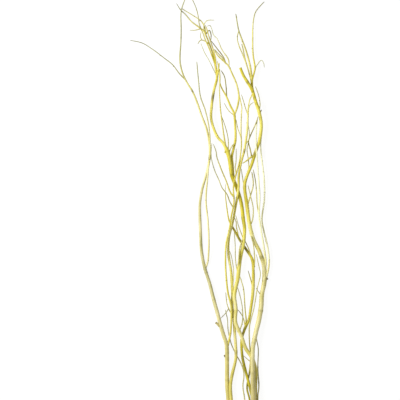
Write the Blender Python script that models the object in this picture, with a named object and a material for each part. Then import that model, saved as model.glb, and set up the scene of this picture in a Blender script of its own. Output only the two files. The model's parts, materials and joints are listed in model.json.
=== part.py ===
# Loose bunch of eight curly willow stems, lying on a flat surface.
# The cut feet are at -Y, the fine tips at +Y, and the surface is z = 0.

import bmesh
import bpy
import numpy as np

# Driving dimensions, in millimetres
TOUCH_GAP = 0.55
JUNCTION_REACH = 12.0
KNOT_SPAN = 24.0
SAMPLE_STEP = 2.0
LONGEST_CHORD = 26.0
CHORD_ERROR = 0.25
MM = 0.001
WELD = 0.01 * MM

# How the shoots come to rest on each other
REST_ROUNDS = 260
SOFT_SHARE = 0.8
SOFT_PASSES = 90
SPRING_BACK = 0.995
SPAN_STEPS = 25

# A junction also reaches this many radii along a side shoot, and a stretch where two
# shoots are close ends where this many samples are missed
JUNCTION_RADII = 3
STRETCH_BREAK = 3

SHARP_EDGE = 1.0
ROUGHNESS = 0.55

# Sides of a shoot's tube, as the curve's bevel resolution
STOUT = 2
SLIM = 1
FINE = 0

PALE_CREAM = (0.86, 0.80, 0.50)
STRAW = (0.80, 0.72, 0.34)
OLIVE_GOLD = (0.60, 0.54, 0.14)
TAN_CREAM = (0.80, 0.70, 0.44)
GREY_BEIGE = (0.58, 0.54, 0.40)


# A shoot is a plan route of (x, y) points. Its girth is a row of radii and its heights are a
# row of centre heights, both evenly spaced from root to tip. A side shoot starts on the centre
# line of its parent, and its heights are above or below that start.
def shoot(sides, girth, heights, route, parent=None):
    return {"sides": sides, "girth": girth, "heights": heights, "route": route, "parent": parent}


def left_stem():
    return {
        "main": shoot(
            STOUT, (5.4, 5.3, 4.9, 4.6, 4.0, 3.8, 3.1, 2.8, 2.4, 2.0, 1.6, 1.2),
            (5, 6, 13, 12, 4, 2, 9, 16, 26, 24, 12, 4),
            [(-16, 0), (-18, 60), (-21, 95), (-21.5, 150), (-23, 200), (-31, 225), (-39, 252),
             (-46, 280), (-55, 312), (-65, 352), (-77, 390), (-85, 430), (-88, 485), (-89.5, 545),
             (-85, 580), (-74, 622), (-65, 665), (-65, 695), (-72, 735), (-85, 770), (-97, 805),
             (-108, 831), (-120, 850), (-131, 872), (-138, 898), (-139, 920), (-137, 948),
             (-136, 985), (-136, 1030), (-129, 1055), (-123, 1069)]),
        "side_knob": shoot(SLIM, (3.2, 2.2), (0, 1), [(-22.5, 166), (-28.5, 173)], "main"),
        "cut_stub": shoot(SLIM, (3.2, 2.6), (0, 4), [(-38, 240), (-50, 255)], "main"),
        "inner_branch": shoot(
            SLIM, (2.3, 2.0, 1.7, 1.3), (0, 14, 16, 14, 20, 12),
            [(-76, 388), (-70, 405), (-67, 452), (-69, 505), (-74, 560), (-69, 630), (-64, 680),
             (-66, 735), (-76, 783), (-88, 818), (-93, 860), (-97, 905)], "main"),
        "outer_twig": shoot(
            FINE, (1.6, 1.2, 1.0), (0, 8, 20, 22),
            [(-126, 858), (-140, 874), (-157, 896), (-180, 914), (-207, 934), (-232, 949),
             (-262, 956)], "main"),
        "right_branch": shoot(
            SLIM, (2.6, 2.4, 2.2, 2.0, 1.8, 1.5, 1.2), (0, 0, 3, 7, 9, 8, 12, 16),
            [(-20, 190), (-18, 205), (-13, 228), (-11, 264), (-12, 297), (-19.5, 330),
             (-24, 372), (-25.5, 405), (-24, 450), (-16, 487), (-10.5, 522), (-4.5, 555),
             (-6, 590), (-2, 614), (8, 650), (14, 695), (13, 727), (14, 775), (15, 790),
             (12.5, 803), (8.5, 822)], "main"),
        "forward_twig": shoot(
            FINE, (1.3, 1.0), (0, 8), [(1.5, 626), (-1.5, 641), (0.5, 655), (1, 688)],
            "right_branch"),
        "upper_twig": shoot(
            FINE, (1.3, 1.0), (0, -6), [(12, 715), (5, 738), (1, 760)], "right_branch"),
        "crossing_twig": shoot(
            FINE, (1.6, 1.2, 1.0), (0, 12, 10, 16),
            [(-6, 541), (-15, 556), (-22, 574), (-34, 590), (-43, 612), (-52, 632), (-59, 655),
             (-61.5, 675), (-59.5, 702)], "right_branch"),
        "low_twig": shoot(
            FINE, (2.2, 1.6, 1.1), (0, -6, 2, 6),
            [(-6, 568), (-14, 580), (-24, 608), (-36, 636), (-46.5, 665), (-49.5, 682), (-56, 699)],
            "right_branch"),
    }


def inner_left_stem():
    return {
        "main": shoot(
            STOUT, (4.2, 4.0, 3.6, 3.6, 3.3, 3.1, 2.9, 2.7, 1.3),
            (12, 9, 6, 8, 11, 12, 17, 22, 28),
            [(-9, 4), (-11, 60), (-13, 95), (-9, 123), (0, 162), (0.5, 187), (-2, 225),
             (-4.5, 262), (-9, 300), (-8, 325), (-11.5, 380), (-18, 425), (-17.5, 462),
             (-7, 507), (0, 545), (7, 590), (7.5, 620), (15, 660), (21, 681), (24.5, 703),
             (29, 742), (30.5, 777), (33, 803), (41, 825)]),
        "right_tip": shoot(FINE, (1.1, 0.9), (0, 4), [(31, 787), (36, 797), (44.5, 803)], "main"),
        "left_tip": shoot(
            FINE, (1.2, 1.0), (0, 6), [(30, 772), (24, 789), (19, 806), (14, 822)], "main"),
        "upright_twig": shoot(
            FINE, (1.2, 1.0), (0, 9), [(24, 697), (33, 713), (33.5, 728), (31, 747)], "main"),
        "lower_twig": shoot(
            FINE, (1.2, 1.0), (0, 8, 6),
            [(-9, 336), (-5.5, 365), (-6, 390), (-11.5, 422), (-15, 433)], "main"),
        "left_twig": shoot(
            FINE, (1.3, 1.1), (0, 9, 11),
            [(-5, 258), (-13, 279), (-21.5, 300), (-25, 330)], "main"),
        "bent_back_twig": shoot(
            FINE, (1.2, 0.9), (0, 6), [(-18, 289), (-25, 278), (-38, 265)], "left_twig"),
    }


def middle_stem():
    return {
        "main": shoot(
            STOUT, (5.5, 5.0, 4.8, 4.8, 4.4, 4.2, 4.7, 4.8, 4.1, 4.5, 4.5, 4.4, 4.6),
            (6, 6, 7, 9, 16, 12, 10, 13, 16, 12, 8, 12, 18),
            [(52, -4), (49, 90), (49.5, 137), (40, 167), (25, 190), (14.5, 220), (5, 240),
             (-0.5, 258), (0.8, 290), (-3, 320), (0, 340), (5, 362), (11, 412), (19, 450),
             (22, 487), (19, 512), (12.5, 558), (2, 592), (-9.5, 620), (-14, 650),
             (-18, 672), (-25, 692)]),
        "knob": shoot(SLIM, (4.6, 4.2), (0, 2), [(-20, 677), (-27, 682)], "main"),
        "right_fork": shoot(
            SLIM, (3.3, 3.3, 3.1, 2.8, 2.5, 1.7, 1.2), (0, 4, 6, 10, 14, 18),
            [(-1, 600), (-6, 622), (-8, 650), (-9.5, 668), (-5.5, 687), (-0.5, 712),
             (-1.5, 747), (-4, 775), (-14, 796), (-23, 817), (-35, 839), (-39.5, 852),
             (-40.5, 867), (-40, 886)], "main"),
        "fork_arm": shoot(
            SLIM, (2.4, 2.0, 1.5), (0, 6, 10, 12),
            [(-4, 772), (1, 783), (6, 800), (7.5, 822), (1.5, 850), (-9.5, 875), (-18, 893),
             (-28, 903), (-37, 911), (-46, 920), (-53, 932)], "right_fork"),
        "fork_arm_tip": shoot(
            FINE, (1.8, 1.5, 1.2, 1.0), (0, 7, 9, 7, 9),
            [(-18, 891), (-18, 907), (-23, 917), (-30, 926), (-36, 936), (-46.5, 960), (-56, 971),
             (-60, 985), (-65, 994), (-71, 991)], "fork_arm"),
        "fork_arm_middle": shoot(
            FINE, (1.6, 1.2), (0, 6), [(-26, 902), (-34, 914), (-43, 923), (-54, 935)],
            "fork_arm"),
        "black_twig": shoot(
            FINE, (1.6, 1.3, 1.1), (0, -5), [(-24, 901), (-31, 916), (-46, 936), (-61, 956)],
            "fork_arm"),
        "fork_side_twig": shoot(
            FINE, (1.6, 1.2), (0, 8), [(-21, 816), (-24.5, 845), (-28.5, 868), (-36.5, 882)],
            "right_fork"),
        "thin_side_twig": shoot(
            FINE, (1.1, 0.9), (0, -7), [(-3.5, 770), (-17, 782), (-29, 802)], "right_fork"),
        "left_arm": shoot(
            STOUT, (3.4, 3.3, 3.3, 3.1, 2.7, 2.0, 1.6), (0, -3, -6, -8, -9, -13, -16),
            [(-23, 685), (-33, 704), (-43, 714), (-52, 731), (-61, 762), (-60, 795),
             (-53.5, 837), (-47, 862), (-49, 885), (-54, 915), (-63, 943), (-72, 966),
             (-81, 984), (-88, 988)], "main"),
        "arm_stub": shoot(
            SLIM, (2.2, 2.4, 2.1), (0, 2), [(-50, 848), (-46, 868), (-43, 888), (-42, 901)],
            "left_arm"),
        "arm_left_strand": shoot(
            SLIM, (1.7, 1.5, 1.2), (0, 4, 6),
            [(-52, 895), (-58, 916), (-67, 940), (-76, 960), (-84, 981), (-90, 990)],
            "left_arm"),
        "arm_right_strand": shoot(
            SLIM, (1.7, 1.5, 1.2), (0, 5, 7),
            [(-49, 885), (-50.5, 912), (-57, 938), (-63, 957), (-68, 972), (-73, 989),
             (-76, 996)], "left_arm"),
        "left_arm_reach": shoot(
            FINE, (2.0, 1.5, 1.0), (0, 6, 4, 8),
            [(-83, 985), (-95, 994), (-111, 1006), (-126, 1024), (-137, 1034), (-148, 1051)],
            "left_arm"),
        "left_arm_second": shoot(
            FINE, (1.6, 1.2, 1.0), (0, -3, 1),
            [(-73, 972), (-77, 990), (-86, 1007), (-103, 1019), (-123, 1031), (-137, 1040)],
            "left_arm"),
        "left_arm_upright": shoot(
            FINE, (1.3, 1.0), (0, 10, 14),
            [(-86, 987), (-91, 1000), (-93.5, 1018), (-98.5, 1038), (-108, 1060), (-113, 1070)],
            "left_arm"),
        "left_arm_short": shoot(
            FINE, (1.2, 0.9), (0, 5), [(-88, 988), (-102, 984), (-115, 984)], "left_arm"),
        "left_arm_back": shoot(
            FINE, (1.2, 0.9), (0, 6), [(-76, 982), (-79, 998), (-71, 1008), (-53, 1009)],
            "left_arm"),
        "left_arm_hook": shoot(
            FINE, (1.5, 1.1), (0, 5), [(-72, 974), (-66, 984), (-61.5, 973), (-62.5, 955)],
            "left_arm"),
        "left_arm_curl": shoot(
            FINE, (1.3, 1.1), (0, 6), [(-62, 948), (-75, 956), (-87, 959), (-95, 949)],
            "left_arm"),
        "left_arm_thread": shoot(
            FINE, (1.0, 0.9), (0, 3), [(-84, 958.5), (-88, 967), (-86.5, 979)],
            "left_arm_curl"),
        "left_arm_outer": shoot(
            FINE, (1.1, 0.9), (0, 7, 12),
            [(-46, 868), (-55, 885), (-66, 907), (-78, 928), (-87, 950)], "left_arm"),
        "second_arm": shoot(
            SLIM, (1.9, 1.7, 1.4, 1.1), (0, 6, 12, 12),
            [(-24, 690), (-28, 710), (-34, 752), (-38, 785), (-40.5, 830), (-39.5, 870),
             (-46, 905)], "main"),
        "third_arm": shoot(
            FINE, (1.3, 1.0), (0, 9), [(-19, 674), (-19, 712), (-26, 742), (-35, 768)], "main"),
        "short_arm": shoot(
            SLIM, (1.7, 1.3), (0, 3), [(-17, 668), (-14, 686), (-4, 701)], "main"),
        "bent_twig": shoot(
            SLIM, (2.0, 1.7), (0, 8, 5), [(6, 378), (8, 420), (10, 440), (16, 460)], "main"),
        "foot_side_twig": shoot(
            FINE, (1.1, 0.9), (0, 4), [(44, 155), (35, 158), (27, 165), (19, 172)], "main"),
        "low_right_twig": shoot(
            FINE, (1.5, 1.1), (0, 6, 2),
            [(8, 233), (16.3, 255), (16.5, 290), (11, 320), (4, 344)], "main"),
        "low_left_twig": shoot(
            FINE, (1.2, 1.0), (0, 8, 9), [(5, 370), (-0.5, 410), (-1.5, 450), (-4, 482)],
            "main"),
        "upper_left_twig": shoot(
            FINE, (1.2, 1.0), (0, 7), [(20, 458), (13, 479), (6, 498), (0, 522)], "main"),
    }


def olive_stem():
    return {
        "main": shoot(
            STOUT, (3.5, 3.5, 3.5, 3.3, 3.4, 4.0, 3.5, 3.0, 1.6, 0.8),
            (4, 7, 7, 4, 5, 8, 8, 5, 9, 12),
            [(41, 5), (42, 60), (36, 90), (23, 140), (16.5, 170), (15, 210), (22, 236),
             (32, 258), (38, 290), (42.5, 325), (44, 385), (41, 412), (28, 434), (11, 459),
             (-3, 484), (-16, 508), (-22, 540), (-26, 580), (-25, 600)]),
        "fork": shoot(
            FINE, (1.8, 1.5, 1.2), (0, 8, 10),
            [(22, 238), (26, 258), (23.5, 287), (21, 325), (19, 341), (9.5, 372)], "main"),
        "left_spur": shoot(
            FINE, (1.3, 1.0), (0, -2), [(24, 243), (17, 270), (4, 288)], "main"),
        "left_spray": shoot(
            FINE, (1.7, 1.1), (0, 6), [(42.5, 340), (37, 363), (31, 384)], "main"),
        "upper_twig": shoot(
            FINE, (1.5, 1.1), (0, 6), [(7, 464), (5, 478), (2, 492), (1, 505), (-3, 517)],
            "main"),
        "side_twig": shoot(
            FINE, (1.6, 1.2), (0, 5), [(41, 406), (37, 424), (32, 439), (27, 450), (22, 462)],
            "main"),
        "right_spray": shoot(
            FINE, (1.6, 1.2), (0, 9, 8), [(44, 372), (47, 415), (44, 448), (39, 470)], "main"),
    }


def right_stem():
    return {
        "main": shoot(
            STOUT, (6.6, 6.6, 5.2, 6.1, 5.6, 5.0, 4.5, 3.8, 3.9, 4.2, 2.1, 1.6, 1.1),
            (17, 19, 16, 12, 5, 8, 13, 15, 15, 18, 13, 7, 2),
            [(46, -6), (45, 60), (42.5, 125), (43, 190), (50, 228), (58.5, 263), (64, 300),
             (65.5, 322), (72, 358), (70.5, 395), (60, 430), (45, 460), (34.5, 500),
             (28.5, 545), (22.5, 598), (30, 625), (38.5, 645), (48.5, 676), (58.5, 706),
             (64, 745), (58, 780), (49, 808), (42, 835), (40.5, 856), (45, 874),
             (48, 888), (43.5, 922), (42.5, 963), (44, 1006), (50, 1030), (65, 1049), (72, 1056)]),
        "bud_spur": shoot(SLIM, (1.9, 1.3), (0, 1), [(59, 774), (64.5, 785)], "main"),
        "side_stub": shoot(SLIM, (2.3, 1.8), (0, 2), [(71, 362), (81, 364)], "main"),
        "outer_branch": shoot(
            SLIM, (2.4, 2.3, 2.1, 1.9, 1.6), (0, 4, 2, 6, 8),
            [(72, 350), (77, 368), (83, 400), (80, 440), (70, 484), (65.5, 510), (71.5, 560),
             (71, 610), (62.5, 693), (66, 735)], "main"),
        "second_branch": shoot(
            SLIM, (2.6, 2.3, 2.1, 1.8, 1.5), (0, 10, 12, 10, 14),
            [(71.5, 380), (75, 405), (69.5, 448), (64.5, 477), (58.5, 522), (59.5, 570),
             (55.5, 630), (50.5, 705), (51.5, 740), (54, 765)], "main"),
        "inner_twig": shoot(
            SLIM, (1.8, 1.5), (0, 6), [(28.5, 545), (36, 569), (43, 593), (43.5, 607), (40, 630)],
            "main"),
        "outer_loop_twig": shoot(
            FINE, (1.5, 1.1), (0, 7, 9),
            [(34.5, 494), (42, 511), (43.5, 540), (36, 573), (30.5, 597)], "main"),
        "crossing_twig": shoot(
            FINE, (1.5, 1.2), (0, -5, -3),
            [(58.5, 520), (53.5, 548), (52, 580), (49, 610), (43.5, 636)], "second_branch"),
        "left_twig": shoot(
            FINE, (2.3, 1.5), (0, 7), [(47.5, 672), (40, 668), (27, 658), (17, 651)], "main"),
        "left_twig_rise": shoot(
            FINE, (1.7, 1.6, 1.2), (0, 7, 4, 8),
            [(39.5, 668), (36, 686), (31.5, 706), (35, 717), (48.5, 747), (56, 768)],
            "left_twig"),
        "grey_twig": shoot(
            FINE, (1.3, 1.1), (0, 9), [(33, 632), (32, 657), (28, 685), (31, 702)], "main"),
        "foot_twig": shoot(
            FINE, (1.2, 0.9), (0, 6), [(65.5, 320), (54, 335), (51, 341)], "main"),
        "arc_twig": shoot(
            FINE, (1.3, 1.1), (0, 6), [(58, 780), (60.5, 797), (57.5, 818), (49, 843)], "main"),
        "cut_branch": shoot(
            STOUT, (4.2, 3.8, 3.4), (0, 6, 13),
            [(46, 825), (39, 838), (29, 854), (18.5, 871), (11, 889)], "main"),
        "upper_branch": shoot(
            SLIM, (2.6, 2.1, 1.4), (0, 4, 8, 10),
            [(43.5, 856), (36, 893), (25, 934), (16, 958), (7.5, 982), (0, 1024)], "main"),
        "upper_branch_left": shoot(
            SLIM, (1.8, 1.5, 1.2), (0, -4, -6, -4),
            [(41, 850), (29, 892), (18, 922), (8, 946), (4, 965), (8, 985)], "main"),
        "upper_branch_middle": shoot(
            FINE, (1.8, 1.5), (0, 5), [(27, 896), (22, 917), (19, 933), (15, 949)],
            "upper_branch_left"),
        "pale_cross_twig": shoot(
            FINE, (1.3, 1.0), (0, -5), [(23, 592), (19, 604), (16.5, 620), (14, 638)], "main"),
        "curled_twig": shoot(
            FINE, (1.2, 1.0), (0, 6),
            [(47.5, 887), (54, 898), (64, 908.5), (69.5, 901), (71.3, 890)], "main"),
    }


def slim_yellow_stem():
    return {
        "main": shoot(
            SLIM, (2.8, 2.2, 1.5, 1.2, 0.9), (3, 3, 2, 10, 22),
            [(36, 2), (35, 60), (28.5, 90), (35, 132), (37.5, 170), (34.5, 208), (34.5, 243),
             (46, 292), (54, 340), (61.5, 375), (57.5, 396), (51, 425)]),
    }


def slim_grey_stem():
    return {
        "main": shoot(
            FINE, (1.7, 1.5, 1.1), (2, 2, 2, 6),
            [(25, 8), (22.5, 60), (18, 95), (20.5, 124), (15, 148), (0, 176), (-12, 204),
             (-19, 237), (-20.5, 262), (-26, 286)]),
    }


def slim_right_stem():
    return {
        "main": shoot(
            SLIM, (1.9, 1.6, 1.3, 1.0), (13, 8, 3, 3),
            [(57, -2), (55.5, 70), (58, 94), (55.5, 140), (56.5, 188), (52, 217), (55, 250),
             (60, 290)]),
    }


STEMS = {
    "left_stem": (left_stem, TAN_CREAM),
    "inner_left_stem": (inner_left_stem, PALE_CREAM),
    "middle_stem": (middle_stem, STRAW),
    "olive_stem": (olive_stem, OLIVE_GOLD),
    "right_stem": (right_stem, TAN_CREAM),
    "slim_yellow_stem": (slim_yellow_stem, OLIVE_GOLD),
    "slim_grey_stem": (slim_grey_stem, GREY_BEIGE),
    "slim_right_stem": (slim_right_stem, GREY_BEIGE),
}


# Smooth curve through the route's own points, sampled at even steps
def smooth_route(route):
    points = np.array(route, dtype=float)
    ends = [2 * points[0] - points[1], 2 * points[-1] - points[-2]]
    padded = np.vstack([ends[0], points, ends[1]])
    spans = np.linalg.norm(np.diff(padded, axis=0), axis=1)
    knots = np.concatenate([[0], np.cumsum(np.sqrt(spans))])
    fine = []
    for k in range(1, len(padded) - 2):
        t0, t1, t2, t3 = knots[k - 1:k + 3]
        p0, p1, p2, p3 = padded[k - 1:k + 3]
        t = np.linspace(t1, t2, SPAN_STEPS, endpoint=False)[:, None]
        a1 = (t1 - t) / (t1 - t0) * p0 + (t - t0) / (t1 - t0) * p1
        a2 = (t2 - t) / (t2 - t1) * p1 + (t - t1) / (t2 - t1) * p2
        a3 = (t3 - t) / (t3 - t2) * p2 + (t - t2) / (t3 - t2) * p3
        b1 = (t2 - t) / (t2 - t0) * a1 + (t - t0) / (t2 - t0) * a2
        b2 = (t3 - t) / (t3 - t1) * a2 + (t - t1) / (t3 - t1) * a3
        fine.append((t2 - t) / (t2 - t1) * b1 + (t - t1) / (t2 - t1) * b2)
    curve = np.vstack(fine + [points[-1:]])
    along = np.concatenate([[0], np.cumsum(np.linalg.norm(np.diff(curve, axis=0), axis=1))])
    count = max(3, int(round(along[-1] / SAMPLE_STEP)) + 1)
    even = np.linspace(0, along[-1], count)
    plan = np.column_stack([np.interp(even, along, curve[:, axis]) for axis in (0, 1)])
    return plan, even


# Values spaced evenly from root to tip, read at each sample with eased steps between them
def spread(values, along):
    place = along / along[-1] * (len(values) - 1)
    low = np.minimum(place.astype(int), len(values) - 2)
    part = place - low
    ease = part * part * (3 - 2 * part)
    values = np.array(values, dtype=float)
    return values[low] * (1 - ease) + values[low + 1] * ease


# Every shoot of every stem as one run of samples, side shoots after their parents
def lay_out():
    shoots = []
    for stem, (describe, colour) in STEMS.items():
        index_of = {}
        for name, spec in describe().items():
            parent = index_of.get(spec["parent"])
            route = list(spec["route"])
            root = 0
            if parent is not None:
                reach = np.linalg.norm(shoots[parent]["plan"] - np.array(route[0]), axis=1)
                root = int(reach.argmin())
                route[0] = tuple(shoots[parent]["plan"][root])
            plan, along = smooth_route(route)
            height = spread(spec["heights"], along)
            if parent is not None:
                height = height + shoots[parent]["height"][root]
            index_of[name] = len(shoots)
            shoots.append({"stem": stem, "name": name, "parent": parent, "root": root,
                           "plan": plan, "along": along, "height": height,
                           "radius": spread(spec["girth"], along), "sides": spec["sides"]})
    return shoots


# Pairs of samples whose round sections would meet if they lay at one height
def close_pairs(shoots, plan, radius, owner, along):
    firsts, seconds = [], []
    for a in range(len(shoots)):
        mine = np.flatnonzero(owner == a)
        others = np.flatnonzero(owner > a)
        if len(others) == 0:
            continue
        apart = np.linalg.norm(plan[mine][:, None] - plan[others][None], axis=2)
        near = apart < radius[mine][:, None] + radius[others][None] + TOUCH_GAP
        i, j = np.nonzero(near)
        firsts.append(mine[i])
        seconds.append(others[j])
    first = np.concatenate(firsts)
    second = np.concatenate(seconds)
    root_place = np.array([one["plan"][0] for one in shoots])
    parent = np.array([-1 if one["parent"] is None else one["parent"] for one in shoots])
    a, b = owner[first], owner[second]
    reach = JUNCTION_REACH + JUNCTION_RADII * radius[first]
    born_here = (parent[b] == a) & (along[second] < reach)
    same_knot = (np.linalg.norm(root_place[a] - root_place[b], axis=1) < KNOT_SPAN)
    same_knot &= (parent[a] >= 0) & (parent[b] >= 0)
    same_knot &= (along[first] < reach) & (along[second] < reach)
    keep = ~(born_here | same_knot)
    return first[keep], second[keep]


# Which of two shoots lies on top: one answer for each unbroken stretch where they are close
def stacking(first, second, owner, height):
    above = np.empty(len(first))
    order = np.lexsort((first, owner[second], owner[first]))
    start = 0
    for n in range(1, len(order) + 1):
        here = order[n - 1]
        ends = n == len(order)
        if not ends:
            following = order[n]
            ends = (owner[first[following]] != owner[first[here]]
                    or owner[second[following]] != owner[second[here]]
                    or first[following] - first[here] > STRETCH_BREAK)
        if ends:
            stretch = order[start:n]
            lead = height[first[stretch]].mean() - height[second[stretch]].mean()
            above[stretch] = 1.0 if lead >= 0 else -1.0
            start = n
    return above


# Heights at which the shoots touch and bear on each other and on the surface without meeting:
# each keeps as much of its own bow as it can, and the stouter of two yields less.
def rest_heights(shoots):
    plan = np.vstack([one["plan"] for one in shoots])
    radius = np.concatenate([one["radius"] for one in shoots])
    along = np.concatenate([one["along"] for one in shoots])
    natural = np.concatenate([one["height"] for one in shoots])
    owner = np.concatenate([np.full(len(one["along"]), n) for n, one in enumerate(shoots)])
    starts = np.concatenate([[0], np.cumsum([len(one["along"]) for one in shoots])])
    first, second = close_pairs(shoots, plan, radius, owner, along)
    above = stacking(first, second, owner, natural)
    reach = radius[first] + radius[second] + TOUCH_GAP
    apart = np.linalg.norm(plan[first] - plan[second], axis=1)
    needed = np.sqrt(np.maximum(reach ** 2 - apart ** 2, 0))
    yielding = 1 / radius ** 2
    share = yielding[first] / (yielding[first] + yielding[second])
    left = np.arange(len(owner)) - 1
    right = np.arange(len(owner)) + 1
    left[starts[:-1]] = starts[:-1]
    right[starts[1:] - 1] = starts[1:] - 1
    rooted = [n for n, one in enumerate(shoots) if one["parent"] is not None]
    root_sample = starts[rooted]
    root_seat = np.array([starts[shoots[n]["parent"]] + shoots[n]["root"] for n in rooted])
    height = natural.copy()
    for turn in range(REST_ROUNDS):
        soften = max(0, int(SOFT_PASSES * (1 - turn / (SOFT_SHARE * REST_ROUNDS))))
        bend = SPRING_BACK * (height - natural)
        for _ in range(soften):
            bend[root_sample] = height[root_seat] - natural[root_sample]
            bend = 0.5 * bend + 0.25 * (bend[left] + bend[right])
        height = natural + bend
        height[root_sample] = height[root_seat]
        lack = np.maximum(needed - above * (height[first] - height[second]), 0)
        lift = above * lack
        ends = np.concatenate([first, second])
        moves = np.concatenate([lift * share, -lift * (1 - share)])
        up = np.zeros(len(owner))
        down = np.zeros(len(owner))
        np.maximum.at(up, ends, moves)
        np.minimum.at(down, ends, moves)
        height = height + up + down
        height = np.maximum(height, radius)
    return [height[starts[n]:starts[n + 1]] for n in range(len(shoots))]


# Samples that a tube needs: a new point where the chord would leave the curve
def tube_points(path):
    chosen = [0]
    last = len(path) - 1
    while chosen[-1] < last:
        begin = chosen[-1]
        end = begin + 1
        while end < last:
            chord = path[end + 1] - path[begin]
            length = np.linalg.norm(chord)
            between = path[begin + 1:end + 1] - path[begin]
            off_line = np.linalg.norm(np.cross(between, chord / length), axis=1).max()
            if length > LONGEST_CHORD or off_line > CHORD_ERROR:
                break
            end += 1
        chosen.append(end)
    return chosen


# A shoot's tube as a closed mesh object
def tube(one, path, collection):
    curve = bpy.data.curves.new(one["name"], "CURVE")
    curve.dimensions = "3D"
    curve.bevel_depth = MM
    curve.bevel_resolution = one["sides"]
    curve.use_fill_caps = True
    chosen = tube_points(path)
    spline = curve.splines.new("POLY")
    spline.points.add(len(chosen) - 1)
    for point, sample in zip(spline.points, chosen):
        point.co = (*(path[sample] * MM), 1)
        point.radius = one["radius"][sample]
    guide = bpy.data.objects.new(one["name"] + "_guide", curve)
    collection.objects.link(guide)
    bpy.context.view_layer.update()
    evaluated = guide.evaluated_get(bpy.context.evaluated_depsgraph_get())
    mesh = bpy.data.meshes.new_from_object(evaluated)
    shape = bmesh.new()
    shape.from_mesh(mesh)
    bmesh.ops.remove_doubles(shape, verts=shape.verts, dist=WELD)
    bmesh.ops.recalc_face_normals(shape, faces=shape.faces)
    shape.to_mesh(mesh)
    shape.free()
    solid = bpy.data.objects.new(one["name"], mesh)
    solid.matrix_world = guide.matrix_world
    collection.objects.link(solid)
    bpy.data.objects.remove(guide)
    return solid


# The side shoots grown into their stem: one union makes the whole stem one body
def fuse(main, side_shoots, stem):
    if side_shoots.objects:
        union = main.modifiers.new("side_shoots", "BOOLEAN")
        union.operation = "UNION"
        union.operand_type = "COLLECTION"
        union.collection = side_shoots
        union.solver = "EXACT"
    bpy.context.view_layer.update()
    evaluated = main.evaluated_get(bpy.context.evaluated_depsgraph_get())
    mesh = bpy.data.meshes.new_from_object(evaluated)
    mesh.name = stem
    whole = bpy.data.objects.new(stem, mesh)
    for piece in list(side_shoots.objects):
        bpy.data.objects.remove(piece)
    bpy.data.objects.remove(main)
    return whole


def wood(stem, colour):
    material = bpy.data.materials.new(stem + "_wood")
    material.use_nodes = True
    surface = material.node_tree.nodes["Principled BSDF"]
    surface.inputs["Base Color"].default_value = (*colour, 1)
    surface.inputs["Roughness"].default_value = ROUGHNESS
    surface.inputs["Metallic"].default_value = 0.0
    return material


def build():
    for old in list(bpy.data.objects):
        bpy.data.objects.remove(old)
    bunch = bpy.data.collections.new("willow_stems")
    guides = bpy.data.collections.new("side_shoots")
    for collection in (bunch, guides):
        bpy.context.scene.collection.children.link(collection)

    shoots = lay_out()
    heights = rest_heights(shoots)
    low = np.min([(one["plan"] - one["radius"][:, None]).min(axis=0) for one in shoots], axis=0)
    high = np.max([(one["plan"] + one["radius"][:, None]).max(axis=0) for one in shoots], axis=0)
    middle = (low + high) / 2

    for stem, (describe, colour) in STEMS.items():
        main = None
        for one, height in zip(shoots, heights):
            if one["stem"] != stem:
                continue
            path = np.column_stack([one["plan"] - middle, height])
            if one["name"] == "main":
                main = tube(one, path, bunch)
            else:
                tube(one, path, guides)
        whole = fuse(main, guides, stem)
        whole.data.materials.clear()
        whole.data.materials.append(wood(stem, colour))
        whole.data.shade_smooth()
        whole.data.set_sharp_from_angle(angle=SHARP_EDGE)
        bunch.objects.link(whole)
    bpy.data.collections.remove(guides)


build()
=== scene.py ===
# Loose bunch of dried curly willow stems: finish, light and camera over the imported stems
import json
from functools import partial

import bpy
import numpy as np
from mathutils import Matrix, Vector

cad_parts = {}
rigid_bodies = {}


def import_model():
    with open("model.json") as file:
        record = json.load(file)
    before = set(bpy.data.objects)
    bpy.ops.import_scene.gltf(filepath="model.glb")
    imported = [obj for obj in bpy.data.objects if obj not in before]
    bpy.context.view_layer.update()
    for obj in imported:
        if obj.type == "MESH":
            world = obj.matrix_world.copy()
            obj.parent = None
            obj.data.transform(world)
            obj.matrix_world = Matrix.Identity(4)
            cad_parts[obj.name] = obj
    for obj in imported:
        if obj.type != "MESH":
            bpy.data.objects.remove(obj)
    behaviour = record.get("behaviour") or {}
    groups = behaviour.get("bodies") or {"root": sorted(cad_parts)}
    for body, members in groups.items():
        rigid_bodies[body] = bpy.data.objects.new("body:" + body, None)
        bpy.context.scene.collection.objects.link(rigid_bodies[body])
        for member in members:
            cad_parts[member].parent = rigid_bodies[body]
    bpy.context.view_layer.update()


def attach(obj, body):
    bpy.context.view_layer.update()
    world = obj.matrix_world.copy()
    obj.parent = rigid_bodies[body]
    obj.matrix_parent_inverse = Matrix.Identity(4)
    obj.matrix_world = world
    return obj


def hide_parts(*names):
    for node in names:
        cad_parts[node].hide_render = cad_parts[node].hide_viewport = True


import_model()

mm = 0.001


# A shoot: its radii and centre heights, evenly spaced from root to tip, and its plan route, all in mm.
# A side shoot's heights are above or below its root.
def shoot(girth, heights, route, parent=None):
    return {"girth": girth, "heights": heights, "route": route, "parent": parent}


# A shoot's bark, evenly spaced from root to tip: how ripe its yellow is, how much of it has weathered,
# how grey the weathered part is, and what is added to or taken from its dark rings all along it. These were
# set stretch by stretch and carry painted shade as well as the bark's own colour: a deeper tint, more
# weathering or more darkening where a stretch lies in shade, and darkening taken away, which is painted
# light, where a stretch lies in the shadow of a crossing stem.
def look(tint, ash, grey=(0, 0), dark=(0, 0)):
    return {"tint": tint, "ash": ash, "grey": grey, "dark": dark}


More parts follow.
